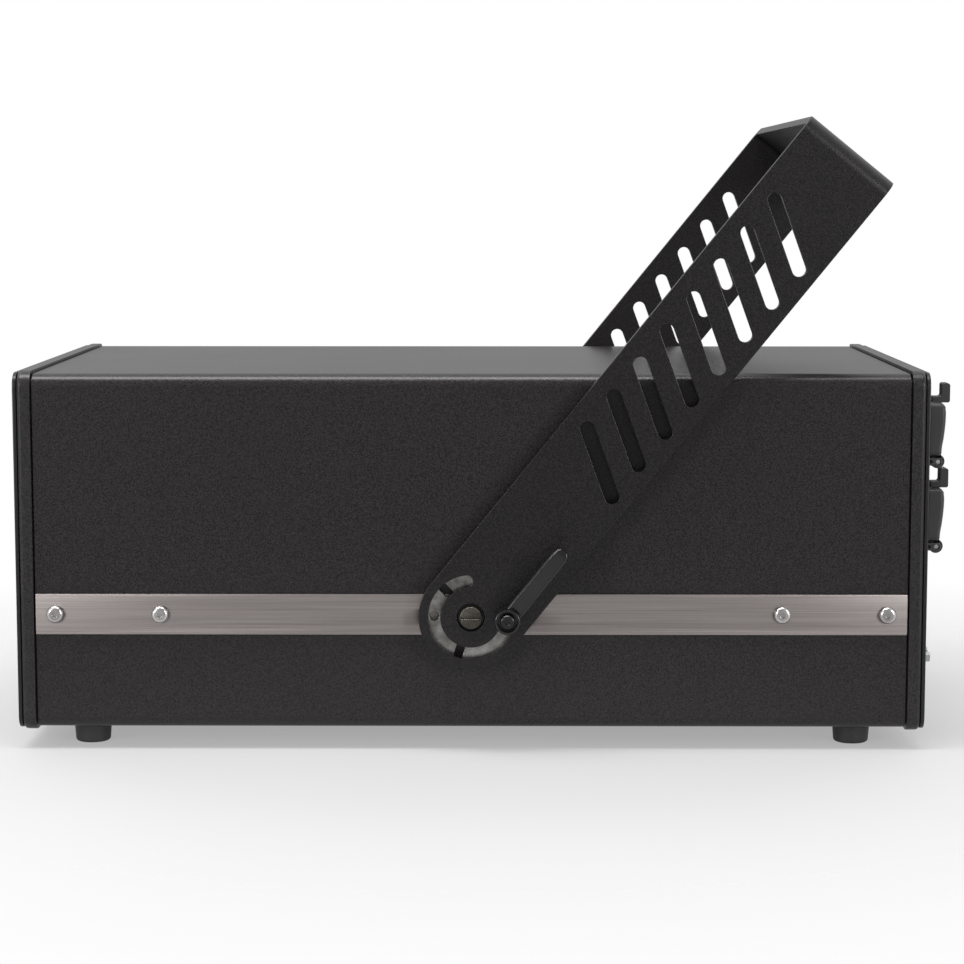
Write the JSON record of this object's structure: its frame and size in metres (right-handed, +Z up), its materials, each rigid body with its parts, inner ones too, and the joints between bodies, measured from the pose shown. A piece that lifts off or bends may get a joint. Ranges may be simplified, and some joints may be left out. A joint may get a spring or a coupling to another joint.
{
  "type": "laser show projector",
  "caption": "Long black box for laser shows with ringed end panels, bright side strips and a slotted U bracket that tilts about its middle under clamping levers.",
  "frame": {"origin": "floor level under the middle of the whole projector's box", "axes": "+X from the front window to the rear connectors, +Y from the side in the picture to the far side, +Z up"},
  "size_m": [0.5174, 0.324, 0.3469],
  "materials": {
    "black_powder_coat": "fine black powder coat",
    "black_panel": "smooth black coat",
    "aluminium": "milled",
    "brushed_stainless": "brushed lengthwise",
    "polished_steel": "bright",
    "dull_zinc": "dull zinc",
    "black_rubber": "matt",
    "black_gloss": "satin black on die-cast metal",
    "black_plastic": "satin",
    "window_glass": "clear, coated",
    "mirror_coating": "coated glass",
    "circuit_board": "green solder mask",
    "steel_cage": "plated sheet"
  },
  "bodies": {
    "housing": {"aperture_window": "window_glass", "base_tray": "black_powder_coat", "combining_mirror_1": "mirror_coating", "combining_mirror_2": "mirror_coating", "control_board": "circuit_board", "cover_shell": "black_powder_coat", "data_socket": "steel_cage", "fan_frame": "black_plastic", "foot_front_far": "black_rubber", "foot_front_near": "black_rubber", "foot_rear_far": "black_rubber", "foot_rear_near": "black_rubber", "friction_disc_far": "polished_steel", "friction_disc_near": "polished_steel", "front_frame": "black_powder_coat", "front_panel": "black_panel", "galvo_motor_x": "steel_cage", "galvo_motor_y": "steel_cage", "interlock_socket": "black_plastic", "key_switch": "steel_cage", "laser_blue": "aluminium", "laser_green": "aluminium", "laser_red": "aluminium", "mains_inlet": "black_plastic", "mains_outlet": "black_plastic", "network_socket": "steel_cage", "optical_bench": "aluminium", "pivot_bolt_far": "dull_zinc", "pivot_bolt_near": "dull_zinc", "power_supply": "steel_cage", "rear_frame": "black_powder_coat", "rear_panel": "black_panel", "scanner_block": "aluminium", "seam_rail_far": "aluminium", "seam_rail_near": "aluminium", "shutter_motor": "steel_cage", "side_strip_far": "brushed_stainless", "side_strip_near": "brushed_stainless", "steering_mirror": "mirror_coating", "strip_screw_far_1": "polished_steel", "strip_screw_far_2": "polished_steel", "strip_screw_far_3": "polished_steel", "strip_screw_far_4": "polished_steel", "strip_screw_near_1": "polished_steel", "strip_screw_near_2": "polished_steel", "strip_screw_near_3": "polished_steel", "strip_screw_near_4": "polished_steel"},
    "bracket": {"bracket": "black_powder_coat"},
    "near_clamp": {"clamp_stud_near": "black_gloss"},
    "near_lever": {"clamp_lever_near": "black_gloss"},
    "far_clamp": {"clamp_stud_far": "black_gloss"},
    "far_lever": {"clamp_lever_far": "black_gloss"},
    "mask": {"aperture_mask": "black_panel"},
    "lid_of_inlet": {"inlet_lid": "black_plastic"},
    "lid_of_outlet": {"outlet_lid": "black_plastic"},
    "key": {"key_rotor": "polished_steel"},
    "fan": {"fan_rotor": "black_plastic"},
    "scan_mirror_x": {"galvo_mirror_x": "mirror_coating"},
    "scan_mirror_y": {"galvo_mirror_y": "mirror_coating"},
    "shutter": {"shutter_blade": "black_panel"}
  },
  "joints": [
    {"name": "bracket_tilt", "type": "hinge", "parent": "housing", "child": "bracket", "pos_m": [-0.00635, 0, 0.076], "axis": [0, -1, 0], "range_deg": [-6, 264]},
    {"name": "clamp_near_turn", "type": "hinge", "parent": "housing", "child": "near_clamp", "pos_m": [0.01365, -0.14, 0.076], "axis": [0, -1, 0], "range_deg": [-20, 90]},
    {"name": "clamp_near_lift", "type": "slide", "parent": "near_clamp", "child": "near_lever", "axis": [0, -1, 0], "range_m": [0, 0.0032], "stiffness_N_per_m": 150, "springref_m": -0.002},
    {"name": "clamp_far_turn", "type": "hinge", "parent": "housing", "child": "far_clamp", "pos_m": [0.01365, 0.14, 0.076], "axis": [0, 1, 0], "range_deg": [-20, 90]},
    {"name": "clamp_far_lift", "type": "slide", "parent": "far_clamp", "child": "far_lever", "axis": [0, 1, 0], "range_m": [0, 0.0032], "stiffness_N_per_m": 150, "springref_m": -0.002},
    {"name": "mask_slide", "type": "slide", "parent": "housing", "child": "mask", "axis": [0, 0, 1], "range_m": [0, 0.03]},
    {"name": "inlet_lid_hinge", "type": "hinge", "parent": "housing", "child": "lid_of_inlet", "pos_m": [0.25135, -0.098, 0.1585], "axis": [0, 1, 0], "range_deg": [0, 90], "stiffness_Nm_per_rad": 0.02, "springref_deg": -28.65},
    {"name": "outlet_lid_hinge", "type": "hinge", "parent": "housing", "child": "lid_of_outlet", "pos_m": [0.25135, -0.098, 0.1112], "axis": [0, 1, 0], "range_deg": [0, 90], "stiffness_Nm_per_rad": 0.02, "springref_deg": -28.65},
    {"name": "key_turn", "type": "hinge", "parent": "housing", "child": "key", "pos_m": [0.24695, -0.056, 0.1755], "axis": [-1, 0, 0], "range_deg": [0, 90]},
    {"name": "fan_spin", "type": "hinge", "parent": "housing", "child": "fan", "pos_m": [0.2285, 0.062, 0.128], "axis": [1, 0, 0], "continuous": true},
    {"name": "scan_x", "type": "hinge", "parent": "housing", "child": "scan_mirror_x", "pos_m": [-0.22105, 0, 0.102], "axis": [1, 0, 0], "range_deg": [-12.5, 12.5]},
    {"name": "scan_y", "type": "hinge", "parent": "housing", "child": "scan_mirror_y", "pos_m": [-0.22105, 0, 0.12], "axis": [0, 1, 0], "range_deg": [-12.5, 12.5]},
    {"name": "shutter_swing", "type": "hinge", "parent": "housing", "child": "shutter", "pos_m": [-0.14245, -0.078, 0.095], "axis": [0, 0, 1], "range_deg": [0, 45], "stiffness_Nm_per_rad": 0.002, "springref_deg": -17.19}
  ]
}
